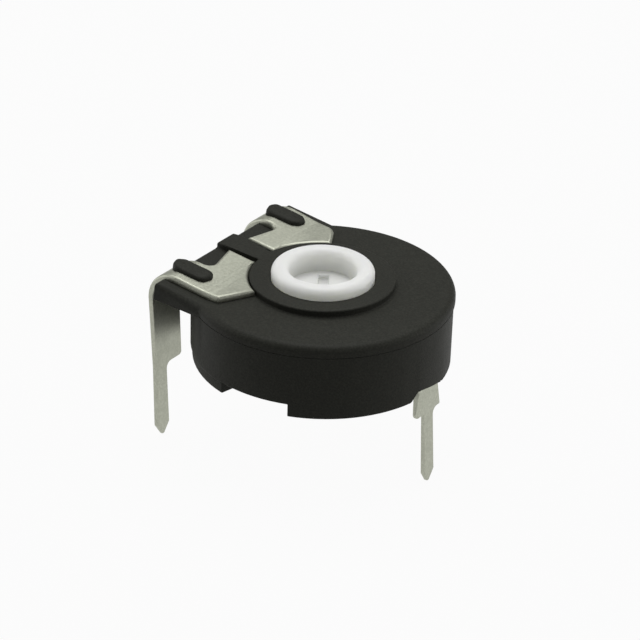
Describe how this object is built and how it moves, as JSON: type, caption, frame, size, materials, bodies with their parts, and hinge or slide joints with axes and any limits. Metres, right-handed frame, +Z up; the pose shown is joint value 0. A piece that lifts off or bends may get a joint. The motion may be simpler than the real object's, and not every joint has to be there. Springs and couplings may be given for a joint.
{
  "type": "trimmer potentiometer",
  "caption": "Round board-mounted trimmer potentiometer with a black housing, flat metal terminals and a white rotor that a screwdriver turns from above.",
  "frame": {"origin": "on the rotor's axis, in the plane of the board's top face, where the pins' shoulders rest", "axes": "+Z up along the rotor's axis, out of the driver recess; +X from the outer terminals to the wiper terminal"},
  "size_m": [0.0155, 0.0148, 0.0111],
  "materials": {
    "black_plastic": "satin",
    "tinned_sheet": "satin",
    "white_plastic": "satin",
    "contact_spring": "satin",
    "board": "matt",
    "carbon_ink": "matt",
    "silver_ink": "satin"
  },
  "bodies": {
    "case": {"housing": "black_plastic", "near_terminal": "tinned_sheet", "far_terminal": "tinned_sheet", "wiper_terminal": "tinned_sheet", "element_board": "board", "carbon_track": "carbon_ink", "near_end_pad": "silver_ink", "far_end_pad": "silver_ink"},
    "rotor_assembly": {"rotor": "white_plastic", "wiper_spring": "contact_spring"}
  },
  "joints": [
    {"name": "rotor_turn", "type": "hinge", "parent": "case", "child": "rotor_assembly", "pos_m": [0, 0, 0.004], "axis": [0, 0, 1], "range_deg": [-132.5, 132.5]}
  ]
}
